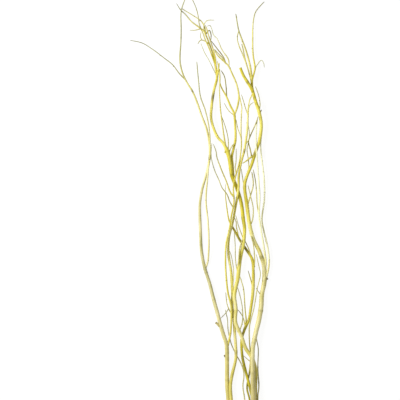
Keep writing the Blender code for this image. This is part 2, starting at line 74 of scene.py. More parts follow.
# The long stem at the left
leftStem = {
    "piece": "leftWillowStem", "node": "left_stem", "slot": "tan_bark",
    "blunt": ("sideKnob", "cutStub"),
    "looks": {
        "main": look((0.75, 0.5, 0.2, 0.3, 0.3, 0.2, 0.3, 0.35, 0.4, 0.5),
            (0.35, 0.55, 0.65, 0.75, 0.8, 0.7, 0.5, 0.4, 0.8, 0.9),
            grey=(0, 0, 0.05, 0.3, 0.25, 0.1, 0.1, 0.2, 0.6, 0.4),
            dark=(0.28, 0.14, 0, 0.2, 0.1, 0, 0, 0.06, 0.22, 0.1)),
        "innerBranch": look((0.2, 0.25, 0.4), (0.5, 0.4, 0.9), grey=(-0.2, -0.1, 0.3)),
        "rightBranch": look((0.6, 0.55, 0.65, 0.5), (0.2, 0.1, 0.1, 0.1), dark=(0.04, 0.1, 0.05)),
        "outerTwig": look((0.2, 0.3), (0.8, 1), grey=(0, 0.3), dark=(0, 0.05, 0.3)),
        "crossingTwig": look((0.4, 0.5), (0.6, 0.9), dark=(0.15, 0.12, 0)),
        "lowTwig": look((0.6, 0.5), (0.2, 0.7)),
        "twigs": look((0.4, 0.5), (0.5, 0.85)),
    },
    "marks": {   # dark rings: x and y in mm, strength, and width in mm
        "main": [(-65, 665, 0.8, 6), (-108, 831, 0.7, 4)],
        "sideKnob": [(-28, 173, 0.9, 3)],
        "cutStub": [(-50, 255, 0.7, 4)],
    },
}
leftStem["shoots"] = {
    "main": shoot((5.4, 5.3, 4.9, 4.6, 4, 3.8, 3.1, 2.8, 2.4, 2, 1.6, 1.2),
        (5, 6, 13, 12, 4, 2, 9, 16, 26, 24, 12, 4), [(-16, 0), (-18, 60), (-21, 95), (-21.5, 150),
        (-23, 200), (-31, 225), (-39, 252), (-46, 280), (-55, 312), (-65, 352), (-77, 390), (-85, 430),
        (-88, 485), (-89.5, 545), (-85, 580), (-74, 622), (-65, 665), (-65, 695), (-72, 735), (-85, 770),
        (-97, 805), (-108, 831), (-120, 850), (-131, 872), (-138, 898), (-139, 920), (-137, 948),
        (-136, 985), (-136, 1030), (-129, 1055), (-123, 1069)]),
    "sideKnob": shoot((3.2, 2.2), (0, 1), [(-22.5, 166), (-28.5, 173)], "main"),
    "cutStub": shoot((3.2, 2.6), (0, 4), [(-38, 240), (-50, 255)], "main"),
    "innerBranch": shoot((2.3, 2, 1.7, 1.3), (0, 14, 16, 14, 20, 12), [(-76, 388), (-70, 405), (-67, 452),
        (-69, 505), (-74, 560), (-69, 630), (-64, 680), (-66, 735), (-76, 783), (-88, 818), (-93, 860),
        (-97, 905)], "main"),
    "outerTwig": shoot((1.6, 1.2, 1), (0, 8, 20, 22), [(-126, 858), (-140, 874), (-157, 896), (-180, 914),
        (-207, 934), (-232, 949), (-262, 956)], "main"),
    "rightBranch": shoot((2.6, 2.4, 2.2, 2, 1.8, 1.5, 1.2), (0, 0, 3, 7, 9, 8, 12, 16), [(-20, 190),
        (-18, 205), (-13, 228), (-11, 264), (-12, 297), (-19.5, 330), (-24, 372), (-25.5, 405), (-24, 450),
        (-16, 487), (-10.5, 522), (-4.5, 555), (-6, 590), (-2, 614), (8, 650), (14, 695), (13, 727),
        (14, 775), (15, 790), (12.5, 803), (8.5, 822)], "main"),
    "forwardTwig": shoot((1.3, 1), (0, 8), [(1.5, 626), (-1.5, 641), (0.5, 655), (1, 688)], "rightBranch"),
    "upperTwig": shoot((1.3, 1), (0, -6), [(12, 715), (5, 738), (1, 760)], "rightBranch"),
    "crossingTwig": shoot((1.6, 1.2, 1), (0, 12, 10, 16), [(-6, 541), (-15, 556), (-22, 574), (-34, 590),
        (-43, 612), (-52, 632), (-59, 655), (-61.5, 675), (-59.5, 702)], "rightBranch"),
    "lowTwig": shoot((2.2, 1.6, 1.1), (0, -6, 2, 6), [(-6, 568), (-14, 580), (-24, 608), (-36, 636),
        (-46.5, 665), (-49.5, 682), (-56, 699)], "rightBranch"),
}

# The pale stem beside it
innerLeftStem = {
    "piece": "innerLeftWillowStem", "node": "inner_left_stem", "slot": "cream_bark",
    "looks": {
        "main": look((0.6, 0.5, 0.35, 0.35, 0.35, 0.6, 0.4, 0.3), (0.3, 0.3, 0.35, 0.2, 0.2, 0.1, 0.2, 0.1),
            dark=(0.2, 0.14, 0.06, 0.04, 0, 0.06, 0, 0)),
        "bentBackTwig": look((0.5, 0.5), (0.6, 0.9), dark=(0.35, 0.35)),
        "twigs": look((0.4, 0.5), (0.3, 0.7)),
    },
    "marks": {
        "main": [(21, 681, 0.6, 5), (0.5, 178, 0.4, 5)],
    },
}
innerLeftStem["shoots"] = {
    "main": shoot((4.2, 4, 3.6, 3.6, 3.3, 3.1, 2.9, 2.7, 1.3), (12, 9, 6, 8, 11, 12, 17, 22, 28), [(-9, 4),
        (-11, 60), (-13, 95), (-9, 123), (0, 162), (0.5, 187), (-2, 225), (-4.5, 262), (-9, 300), (-8, 325),
        (-11.5, 380), (-18, 425), (-17.5, 462), (-7, 507), (0, 545), (7, 590), (7.5, 620), (15, 660),
        (21, 681), (24.5, 703), (29, 742), (30.5, 777), (33, 803), (41, 825)]),
    "rightTip": shoot((1.1, 0.9), (0, 4), [(31, 787), (36, 797), (44.5, 803)], "main"),
    "leftTip": shoot((1.2, 1), (0, 6), [(30, 772), (24, 789), (19, 806), (14, 822)], "main"),
    "uprightTwig": shoot((1.2, 1), (0, 9), [(24, 697), (33, 713), (33.5, 728), (31, 747)], "main"),
    "lowerTwig": shoot((1.2, 1), (0, 8, 6), [(-9, 336), (-5.5, 365), (-6, 390), (-11.5, 422), (-15, 433)],
        "main"),
    "leftTwig": shoot((1.3, 1.1), (0, 9, 11), [(-5, 258), (-13, 279), (-21.5, 300), (-25, 330)], "main"),
    "bentBackTwig": shoot((1.2, 0.9), (0, 6), [(-18, 289), (-25, 278), (-38, 265)], "leftTwig"),
}

# The stout stem in the middle, with its knob, its left arm and its right fork
middleStem = {
    "piece": "middleWillowStem", "node": "middle_stem", "slot": "straw_bark",
    "blunt": ("knob", "armStub"),
    "forked": ("main",),
    "looks": {
        "main": look((0.65, 0.7, 0.35, 0.3, 0.35, 0.5, 0.75, 0.75, 0.6),
            (0.35, 0.2, 0.3, 0.45, 0.2, 0.05, 0, 0, 0), dark=(0, 0, 0, 0, 0, 0, 0.04, 0, -0.3)),
        "knob": look((0.55, 0.5), (0, 0), dark=(-0.4, -0.2)),
        # The fork's root has its darkening taken away and a deep olive tint: painted light that lifts the
        # grey shade in its seam with the main stem, and the olive there is painted shade
        "rightFork": look((0.8, 0.6, 0.6, 0.6, 0.6), (0, 0.05, 0), dark=(-0.6, -0.1, 0, 0)),
        "leftArm": look((0.5, 0.4, 0.5, 0.75, 0.6, 0.55), (0, 0.1, 0.1, 0.1, 0.1),
            dark=(-0.3, 0, 0, 0, 0, -0.3)),
        "leftArmReach": look((0.5, 0.4), (0.4, 1), grey=(0, 0.4), dark=(-0.2, 0.1, 0.15)),
        "leftArmSecond": look((0.6, 0.5), (0.2, 0.6), dark=(-0.3, 0, 0)),
        "armStub": look((0.7, 0.6), (0, 0.1)),
        "armLeftStrand": look((0.7, 0.7), (0.1, 0.3), dark=(0, 0, 0.12)),
        "armRightStrand": look((0.7, 0.8), (0.1, 0.2)),
        "forkArm": look((0.5, 0.45), (0.2, 0.3)),
        "forkArmTip": look((0.2, 0), (0.5, 0.7), grey=(-0.3, 0)),
        "secondArm": look((0.6, 0.5), (0.3, 0.4)),
        "thirdArm": look((0.6, 0.6), (0.5, 0.8)),
        "blackTwig": look((0.8, 0.8), (0.6, 0.6), dark=(0.2, 0.5, 0.7)),
        "leftArmHook": look((0.8, 0.8), (0.7, 0.8), dark=(0.2, 0.45, 0.3)),
        "forkSideTwig": look((0.7, 0.8), (0.6, 0.6), dark=(0.4, 0.4)),
        "leftArmUpright": look((0.4, 0.4), (0.7, 1)),
        "lowRightTwig": look((0.4, 0.4), (0.7, 0.9)),
        "leftArmOuter": look((0.1, 0.1), (0.6, 0.6)),
        "twigs": look((0.5, 0.55), (0.3, 0.7)),
    },
    "marks": {
        "leftArm": [(-43, 714, 0.4, 5), (-57, 818, 0.8, 14)],
        "main": [(-10, 624, 0.4, 4)],
        "armStub": [(-46, 868, 0.3, 5)],
    },
}
middleStem["shoots"] = {
    "main": shoot((5.5, 5, 4.8, 4.8, 4.4, 4.2, 4.7, 4.8, 4.1, 4.5, 4.5, 4.4, 4.6),
        (6, 6, 7, 9, 16, 12, 10, 13, 16, 12, 8, 12, 18), [(52, -4), (49, 90), (49.5, 137), (40, 167),
        (25, 190), (14.5, 220), (5, 240), (-0.5, 258), (0.8, 290), (-3, 320), (0, 340), (5, 362), (11, 412),
        (19, 450), (22, 487), (19, 512), (12.5, 558), (2, 592), (-9.5, 620), (-14, 650), (-18, 672),
        (-25, 692)]),
    "knob": shoot((4.6, 4.2), (0, 2), [(-20, 677), (-27, 682)], "main"),
    "rightFork": shoot((3.3, 3.3, 3.1, 2.8, 2.5, 1.7, 1.2), (0, 4, 6, 10, 14, 18), [(-1, 600), (-6, 622),
        (-8, 650), (-9.5, 668), (-5.5, 687), (-0.5, 712), (-1.5, 747), (-4, 775), (-14, 796), (-23, 817),
        (-35, 839), (-39.5, 852), (-40.5, 867), (-40, 886)], "main"),
    "forkArm": shoot((2.4, 2, 1.5), (0, 6, 10, 12), [(-4, 772), (1, 783), (6, 800), (7.5, 822), (1.5, 850),
        (-9.5, 875), (-18, 893), (-28, 903), (-37, 911), (-46, 920), (-53, 932)], "rightFork"),
    "forkArmTip": shoot((1.8, 1.5, 1.2, 1), (0, 7, 9, 7, 9), [(-18, 891), (-18, 907), (-23, 917),
        (-30, 926), (-36, 936), (-46.5, 960), (-56, 971), (-60, 985), (-65, 994), (-71, 991)], "forkArm"),
    "forkArmMiddle": shoot((1.6, 1.2), (0, 6), [(-26, 902), (-34, 914), (-43, 923), (-54, 935)], "forkArm"),
    "blackTwig": shoot((1.6, 1.3, 1.1), (0, -5), [(-24, 901), (-31, 916), (-46, 936), (-61, 956)],
        "forkArm"),
    "forkSideTwig": shoot((1.6, 1.2), (0, 8), [(-21, 816), (-24.5, 845), (-28.5, 868), (-36.5, 882)],
        "rightFork"),
    "thinSideTwig": shoot((1.1, 0.9), (0, -7), [(-3.5, 770), (-17, 782), (-29, 802)], "rightFork"),
    "leftArm": shoot((3.4, 3.3, 3.3, 3.1, 2.7, 2, 1.6), (0, -3, -6, -8, -9, -13, -16), [(-23, 685),
        (-33, 704), (-43, 714), (-52, 731), (-61, 762), (-60, 795), (-53.5, 837), (-47, 862), (-49, 885),
        (-54, 915), (-63, 943), (-72, 966), (-81, 984), (-88, 988)], "main"),
    "armStub": shoot((2.2, 2.4, 2.1), (0, 2), [(-50, 848), (-46, 868), (-43, 888), (-42, 901)], "leftArm"),
    "armLeftStrand": shoot((1.7, 1.5, 1.2), (0, 4, 6), [(-52, 895), (-58, 916), (-67, 940), (-76, 960),
        (-84, 981), (-90, 990)], "leftArm"),
    "armRightStrand": shoot((1.7, 1.5, 1.2), (0, 5, 7), [(-49, 885), (-50.5, 912), (-57, 938), (-63, 957),
        (-68, 972), (-73, 989), (-76, 996)], "leftArm"),
    "leftArmReach": shoot((2, 1.5, 1), (0, 6, 4, 8), [(-83, 985), (-95, 994), (-111, 1006), (-126, 1024),
        (-137, 1034), (-148, 1051)], "leftArm"),
    "leftArmSecond": shoot((1.6, 1.2, 1), (0, -3, 1), [(-73, 972), (-77, 990), (-86, 1007), (-103, 1019),
        (-123, 1031), (-137, 1040)], "leftArm"),
    "leftArmUpright": shoot((1.3, 1), (0, 10, 14), [(-86, 987), (-91, 1000), (-93.5, 1018), (-98.5, 1038),
        (-108, 1060), (-113, 1070)], "leftArm"),
    "leftArmShort": shoot((1.2, 0.9), (0, 5), [(-88, 988), (-102, 984), (-115, 984)], "leftArm"),
    "leftArmBack": shoot((1.2, 0.9), (0, 6), [(-76, 982), (-79, 998), (-71, 1008), (-53, 1009)], "leftArm"),
    "leftArmHook": shoot((1.5, 1.1), (0, 5), [(-72, 974), (-66, 984), (-61.5, 973), (-62.5, 955)],
        "leftArm"),
    "leftArmCurl": shoot((1.3, 1.1), (0, 6), [(-62, 948), (-75, 956), (-87, 959), (-95, 949)], "leftArm"),
    "leftArmThread": shoot((1, 0.9), (0, 3), [(-84, 958.5), (-88, 967), (-86.5, 979)], "leftArmCurl"),
    "leftArmOuter": shoot((1.1, 0.9), (0, 7, 12), [(-46, 868), (-55, 885), (-66, 907), (-78, 928),
        (-87, 950)], "leftArm"),
    "secondArm": shoot((1.9, 1.7, 1.4, 1.1), (0, 6, 12, 12), [(-24, 690), (-28, 710), (-34, 752),
        (-38, 785), (-40.5, 830), (-39.5, 870), (-46, 905)], "main"),
    "thirdArm": shoot((1.3, 1), (0, 9), [(-19, 674), (-19, 712), (-26, 742), (-35, 768)], "main"),
    "shortArm": shoot((1.7, 1.3), (0, 3), [(-17, 668), (-14, 686), (-4, 701)], "main"),
    "bentTwig": shoot((2, 1.7), (0, 8, 5), [(6, 378), (8, 420), (10, 440), (16, 460)], "main"),
    "footSideTwig": shoot((1.1, 0.9), (0, 4), [(44, 155), (35, 158), (27, 165), (19, 172)], "main"),
    "lowRightTwig": shoot((1.5, 1.1), (0, 6, 2), [(8, 233), (16.3, 255), (16.5, 290), (11, 320), (4, 344)],
        "main"),
    "lowLeftTwig": shoot((1.2, 1), (0, 8, 9), [(5, 370), (-0.5, 410), (-1.5, 450), (-4, 482)], "main"),
    "upperLeftTwig": shoot((1.2, 1), (0, 7), [(20, 458), (13, 479), (6, 498), (0, 522)], "main"),
}

# The dark olive stem that passes under the middle one twice
oliveStem = {
    "piece": "oliveWillowStem", "node": "olive_stem", "slot": "olive_bark",
    "looks": {
        # The main shoot has its darkening taken away partway up, where it runs under the middle stem:
        # painted light over the shadow that stem casts
        "main": look((0.7, 0.95, 0.85, 0.85, 0.75, 0.5, 0.8, 1, 0.7, 0.6),
            (0.1, 0, 0, 0, 0.1, 0.2, 0.1, 0.1, 0.2, 0.5), dark=(0, 0, 0, -0.5, -0.45, 0, 0, 0, 0, 0)),
        "fork": look((0.55, 0.4), (0.1, 0.5), dark=(-0.6, -0.3)),
        "upperTwig": look((0.5, 0.6), (0.1, 0.3), dark=(-0.6, -0.2)),
        "twigs": look((0.7, 0.7), (0.2, 0.6)),
    },
    "marks": {
        "leftSpray": [(31, 384, 0.6, 9)],
        "main": [(28, 434, 0.4, 12)],
    },
}
oliveStem["shoots"] = {
    "main": shoot((3.5, 3.5, 3.5, 3.3, 3.4, 4, 3.5, 3, 1.6, 0.8), (4, 7, 7, 4, 5, 8, 8, 5, 9, 12), [(41, 5),
        (42, 60), (36, 90), (23, 140), (16.5, 170), (15, 210), (22, 236), (32, 258), (38, 290), (42.5, 325),
        (44, 385), (41, 412), (28, 434), (11, 459), (-3, 484), (-16, 508), (-22, 540), (-26, 580),
        (-25, 600)]),
    "fork": shoot((1.8, 1.5, 1.2), (0, 8, 10), [(22, 238), (26, 258), (23.5, 287), (21, 325), (19, 341),
        (9.5, 372)], "main"),
    "leftSpur": shoot((1.3, 1), (0, -2), [(24, 243), (17, 270), (4, 288)], "main"),
    "leftSpray": shoot((1.7, 1.1), (0, 6), [(42.5, 340), (37, 363), (31, 384)], "main"),
    "upperTwig": shoot((1.5, 1.1), (0, 6), [(7, 464), (5, 478), (2, 492), (1, 505), (-3, 517)], "main"),
    "sideTwig": shoot((1.6, 1.2), (0, 5), [(41, 406), (37, 424), (32, 439), (27, 450), (22, 462)], "main"),
    "rightSpray": shoot((1.6, 1.2), (0, 9, 8), [(44, 372), (47, 415), (44, 448), (39, 470)], "main"),
}

# The stoutest stem, at the right
rightStem = {
    "piece": "rightWillowStem", "node": "right_stem", "slot": "tan_bark",
    "blunt": ("cutBranch", "sideStub"),
    "looks": {
        "main": look((0.6, 0.45, 0.2, 0.2, 0.3, 0.25, 0.8, 0.8, 0.45, 0.85, 0.35, 0.3),
            (0.7, 0.75, 0.5, 0.55, 0.5, 0.15, 0.1, 0, 0, 0, 0.1, 0.8),
            grey=(0, 0, 0, 0, 0.05, 0, 0, 0, 0, 0, 0.2, 0.5),
            dark=(0.45, 0.3, 0.12, 0.06, 0.08, 0, 0.05, 0, 0, -0.3, 0, 0.4)),
        "cutBranch": look((0.6, 0.65, 0.6), (0, 0)),
        "outerBranch": look((0.1, 0, -0.1, -0.1), (0.3, 0.1, 0, 0), grey=(-0.3, -0.3)),
        "secondBranch": look((0.2, 0, -0.1, -0.1), (0.2, 0, 0, 0)),
        "upperBranch": look((0.4, 0.5), (0.2, 0.8), grey=(0, 0.3), dark=(0, 0.1)),
        "leftTwig": look((0.55, 0.5), (0.1, 0.3)),
        "leftTwigRise": look((0.75, 0.7), (0.5, 0.5), dark=(0.25, 0.25)),
        "curledTwig": look((0.2, 0.2), (0.6, 0.8), grey=(0, 0.2)),
        "twigs": look((0.45, 0.5), (0.4, 0.7)),
    },
    "marks": {
        "main": [(48.5, 676, 0.45, 6), (42.5, 963, 0.3, 4), (66.5, 420, 0.5, 4), (63, 283, 0.15, 2)],
        "cutBranch": [(29, 854, 0.6, 4)],
        "sideStub": [(81, 364, 0.9, 4)],
        "budSpur": [(64, 785, 0.8, 5)],
    },
}
rightStem["shoots"] = {
    "main": shoot((6.6, 6.6, 5.2, 6.1, 5.6, 5, 4.5, 3.8, 3.9, 4.2, 2.1, 1.6, 1.1),
        (17, 19, 16, 12, 5, 8, 13, 15, 15, 18, 13, 7, 2), [(46, -6), (45, 60), (42.5, 125), (43, 190),
        (50, 228), (58.5, 263), (64, 300), (65.5, 322), (72, 358), (70.5, 395), (60, 430), (45, 460),
        (34.5, 500), (28.5, 545), (22.5, 598), (30, 625), (38.5, 645), (48.5, 676), (58.5, 706), (64, 745),
        (58, 780), (49, 808), (42, 835), (40.5, 856), (45, 874), (48, 888), (43.5, 922), (42.5, 963),
        (44, 1006), (50, 1030), (65, 1049), (72, 1056)]),
    "budSpur": shoot((1.9, 1.3), (0, 1), [(59, 774), (64.5, 785)], "main"),
    "sideStub": shoot((2.3, 1.8), (0, 2), [(71, 362), (81, 364)], "main"),
    "outerBranch": shoot((2.4, 2.3, 2.1, 1.9, 1.6), (0, 4, 2, 6, 8), [(72, 350), (77, 368), (83, 400),
        (80, 440), (70, 484), (65.5, 510), (71.5, 560), (71, 610), (62.5, 693), (66, 735)], "main"),
    "secondBranch": shoot((2.6, 2.3, 2.1, 1.8, 1.5), (0, 10, 12, 10, 14), [(71.5, 380), (75, 405),
        (69.5, 448), (64.5, 477), (58.5, 522), (59.5, 570), (55.5, 630), (50.5, 705), (51.5, 740),
        (54, 765)], "main"),
    "innerTwig": shoot((1.8, 1.5), (0, 6), [(28.5, 545), (36, 569), (43, 593), (43.5, 607), (40, 630)],
        "main"),
    "outerLoopTwig": shoot((1.5, 1.1), (0, 7, 9), [(34.5, 494), (42, 511), (43.5, 540), (36, 573),
        (30.5, 597)], "main"),
    "crossingTwig": shoot((1.5, 1.2), (0, -5, -3), [(58.5, 520), (53.5, 548), (52, 580), (49, 610),
        (43.5, 636)], "secondBranch"),
    "leftTwig": shoot((2.3, 1.5), (0, 7), [(47.5, 672), (40, 668), (27, 658), (17, 651)], "main"),
    "leftTwigRise": shoot((1.7, 1.6, 1.2), (0, 7, 4, 8), [(39.5, 668), (36, 686), (31.5, 706), (35, 717),
        (48.5, 747), (56, 768)], "leftTwig"),
    "greyTwig": shoot((1.3, 1.1), (0, 9), [(33, 632), (32, 657), (28, 685), (31, 702)], "main"),
    "footTwig": shoot((1.2, 0.9), (0, 6), [(65.5, 320), (54, 335), (51, 341)], "main"),
    "arcTwig": shoot((1.3, 1.1), (0, 6), [(58, 780), (60.5, 797), (57.5, 818), (49, 843)], "main"),
    "cutBranch": shoot((4.2, 3.8, 3.4), (0, 6, 13), [(46, 825), (39, 838), (29, 854), (18.5, 871),
        (11, 889)], "main"),
    "upperBranch": shoot((2.6, 2.1, 1.4), (0, 4, 8, 10), [(43.5, 856), (36, 893), (25, 934), (16, 958),
        (7.5, 982), (0, 1024)], "main"),
    "upperBranchLeft": shoot((1.8, 1.5, 1.2), (0, -4, -6, -4), [(41, 850), (29, 892), (18, 922), (8, 946),
        (4, 965), (8, 985)], "main"),
    "upperBranchMiddle": shoot((1.8, 1.5), (0, 5), [(27, 896), (22, 917), (19, 933), (15, 949)],
        "upperBranchLeft"),
    "paleCrossTwig": shoot((1.3, 1), (0, -5), [(23, 592), (19, 604), (16.5, 620), (14, 638)], "main"),
    "curledTwig": shoot((1.2, 1), (0, 6), [(47.5, 887), (54, 898), (64, 908.5), (69.5, 901), (71.3, 890)],
        "main"),
}

# Three thin stems at the foot
slimYellowStem = {
    "piece": "slimYellowWillowStem", "node": "slim_yellow_stem", "slot": "olive_bark",
    "looks": {
        "main": look((0.8, 0.95, 0.6, 0.4, 0.4), (0.1, 0, 0.4, 0.5, 0.6), dark=(0.1, 0.2, 0, 0)),
        "twigs": look((0.5, 0.5), (0.3, 0.5)),
    },
}
slimYellowStem["shoots"] = {
    "main": shoot((2.8, 2.2, 1.5, 1.2, 0.9), (3, 3, 2, 10, 22), [(36, 2), (35, 60), (28.5, 90), (35, 132),
        (37.5, 170), (34.5, 208), (34.5, 243), (46, 292), (54, 340), (61.5, 375), (57.5, 396), (51, 425)]),
}

slimGreyStem = {
    "piece": "slimGreyWillowStem", "node": "slim_grey_stem", "slot": "grey_bark",
    "looks": {
        "main": look((0.3, 0.3), (0.6, 0.8)),
        "twigs": look((0.3, 0.4), (0.6, 0.8)),
    },
}
slimGreyStem["shoots"] = {
    "main": shoot((1.7, 1.5, 1.1), (2, 2, 2, 6), [(25, 8), (22.5, 60), (18, 95), (20.5, 124), (15, 148),
        (0, 176), (-12, 204), (-19, 237), (-20.5, 262), (-26, 286)]),
}

slimRightStem = {
    "piece": "slimRightWillowStem", "node": "slim_right_stem", "slot": "grey_bark",
    "looks": {
        "main": look((0.35, 0.3), (0.6, 0.8)),
        "twigs": look((0.3, 0.4), (0.5, 0.7)),
    },
    "marks": {
        "main": [(56, 103, 0.9, 4)],
    },
}
slimRightStem["shoots"] = {
    "main": shoot((1.9, 1.6, 1.3, 1), (13, 8, 3, 3), [(57, -2), (55.5, 70), (58, 94), (55.5, 140),
        (56.5, 188), (52, 217), (55, 250), (60, 290)]),
}


# How the shoots lie: the same rule that laid the solid stems, so every fine shoot follows its solid one
laying = {
    "touchGap": 0.55,        # mm left between touching shoots
    "junctionReach": 12.0,   # mm from a root where shoots may run into each other
    "knotSpan": 24.0,        # mm between roots that count as one knot
    "junctionRadii": 3,      # radii of the first shoot, added to that reach
    "stretchBreak": 3,       # missed samples that end a close stretch
    "sampleStep": 2.0,       # mm
    "spanSteps": 25,         # fine steps between two route points
    "rounds": 260,
    "softPasses": 90,        # smoothing passes in the first round, fewer in each later one
    "softShare": 0.8,        # of the rounds have any
    "springBack": 0.995,     # share of a bend that is kept from round to round
}


def mix(first, last, start, end, t):  # the place at t between two places reached at start and end
    return (end - t) / (end - start) * first + (t - start) / (end - start) * last


def smoothRoute(route):
    points = np.array(route, dtype=float)
    ends = [2 * points[0] - points[1], 2 * points[-1] - points[-2]]
    padded = np.vstack([ends[0], points, ends[1]])
    spans = np.linalg.norm(np.diff(padded, axis=0), axis=1)
    knots = np.concatenate([[0], np.cumsum(np.sqrt(spans))])
    fine = []
    for k in range(1, len(padded) - 2):
        t0, t1, t2, t3 = knots[k - 1:k + 3]
        p0, p1, p2, p3 = padded[k - 1:k + 3]
        t = np.linspace(t1, t2, laying["spanSteps"], endpoint=False)[:, None]
        a1, a2, a3 = mix(p0, p1, t0, t1, t), mix(p1, p2, t1, t2, t), mix(p2, p3, t2, t3, t)
        fine.append(mix(mix(a1, a2, t0, t2, t), mix(a2, a3, t1, t3, t), t1, t2, t))
    curve = np.vstack(fine + [points[-1:]])
    along = np.concatenate([[0], np.cumsum(np.linalg.norm(np.diff(curve, axis=0), axis=1))])
    count = max(3, int(round(along[-1] / laying["sampleStep"])) + 1)
    even = np.linspace(0, along[-1], count)
    return np.column_stack([np.interp(even, along, curve[:, axis]) for axis in (0, 1)]), even


def spread(values, along):  # evenly spaced values read at each sample, eased between them
    place = along / along[-1] * (len(values) - 1)
    low = np.minimum(place.astype(int), len(values) - 2)
    part = place - low
    ease = part * part * (3 - 2 * part)
    values = np.array(values, dtype=float)
    return values[low] * (1 - ease) + values[low + 1] * ease


def layOut(stems):
    shoots = []
    for stem in stems:
        indexOf = {}
        for name, spec in stem["shoots"].items():
            parent = indexOf.get(spec["parent"])
            route = list(spec["route"])
            root = 0
            if parent is not None:
                reach = np.linalg.norm(shoots[parent]["plan"] - np.array(route[0]), axis=1)
                root = int(reach.argmin())
                route[0] = tuple(shoots[parent]["plan"][root])
            plan, along = smoothRoute(route)
            height = spread(spec["heights"], along)
            if parent is not None:
                height = height + shoots[parent]["height"][root]
            indexOf[name] = len(shoots)
            shoots.append({"stem": stem["node"], "name": name, "parent": parent, "root": root,
                           "plan": plan, "along": along, "height": height,
                           "radius": spread(spec["girth"], along)})
    return shoots


def closePairs(shoots, plan, radius, owner, along):  # samples whose sections would meet at one height
    pairs = []
    for n in range(len(shoots) - 1):
        mine, others = np.flatnonzero(owner == n), np.flatnonzero(owner > n)
        apart = np.linalg.norm(plan[mine][:, None] - plan[others][None], axis=2)
        i, j = np.nonzero(apart < radius[mine][:, None] + radius[others][None] + laying["touchGap"])
        pairs.append((mine[i], others[j]))
    first, second = [np.concatenate(side) for side in zip(*pairs)]
    rootPlace = np.array([one["plan"][0] for one in shoots])
    parent = np.array([-1 if one["parent"] is None else one["parent"] for one in shoots])
    a, b = owner[first], owner[second]
    reach = laying["junctionReach"] + laying["junctionRadii"] * radius[first]
    bornHere = (parent[b] == a) & (along[second] < reach)
    sameKnot = np.linalg.norm(rootPlace[a] - rootPlace[b], axis=1) < laying["knotSpan"]
    sameKnot &= (parent[a] >= 0) & (parent[b] >= 0)
    sameKnot &= (along[first] < reach) & (along[second] < reach)
    keep = ~(bornHere | sameKnot)
    return first[keep], second[keep]


def stacking(first, second, owner, height):  # which of two shoots is on top, once for each stretch
    above = np.empty(len(first))
    order = np.lexsort((first, owner[second], owner[first]))
    step, lower, upper = [np.diff(values[order]) for values in (first, owner[first], owner[second])]
    breaks = np.flatnonzero((lower != 0) | (upper != 0) | (step > laying["stretchBreak"])) + 1
    for stretch in np.split(order, breaks):
        lead = height[first[stretch]].mean() - height[second[stretch]].mean()
        above[stretch] = 1.0 if lead >= 0 else -1.0
    return above


def restHeights(shoots):
    plan = np.vstack([one["plan"] for one in shoots])
    radius, along, natural = [np.concatenate([one[key] for one in shoots])
                              for key in ("radius", "along", "height")]
    owner = np.concatenate([np.full(len(one["along"]), n) for n, one in enumerate(shoots)])
    starts = np.concatenate([[0], np.cumsum([len(one["along"]) for one in shoots])])
    first, second = closePairs(shoots, plan, radius, owner, along)
    above = stacking(first, second, owner, natural)
    reach = radius[first] + radius[second] + laying["touchGap"]
    apart = np.linalg.norm(plan[first] - plan[second], axis=1)
    needed = np.sqrt(np.maximum(reach ** 2 - apart ** 2, 0))
    yielding = 1 / radius ** 2  # the stouter of two yields less
    share = yielding[first] / (yielding[first] + yielding[second])
    left, right = np.arange(len(owner)) - 1, np.arange(len(owner)) + 1
    left[starts[:-1]] = starts[:-1]
    right[starts[1:] - 1] = starts[1:] - 1
    rooted = [n for n, one in enumerate(shoots) if one["parent"] is not None]
    rootSample = starts[rooted]
    rootSeat = np.array([starts[shoots[n]["parent"]] + shoots[n]["root"] for n in rooted])
    height = natural.copy()
    for turn in range(laying["rounds"]):
        soften = max(0, int(laying["softPasses"] * (1 - turn / (laying["softShare"] * laying["rounds"]))))
        bend = laying["springBack"] * (height - natural)
        for _ in range(soften):
            bend[rootSample] = height[rootSeat] - natural[rootSample]
            bend = 0.5 * bend + 0.25 * (bend[left] + bend[right])
        height = natural + bend
        height[rootSample] = height[rootSeat]
        lack = np.maximum(needed - above * (height[first] - height[second]), 0)
        lift = above * lack
        ends = np.concatenate([first, second])
        moves = np.concatenate([lift * share, -lift * (1 - share)])
        up, down = np.zeros((2, len(owner)))
        np.maximum.at(up, ends, moves)
        np.minimum.at(down, ends, moves)
        height = np.maximum(height + up + down, radius)
    return [height[starts[n]:starts[n + 1]] for n in range(len(shoots))]


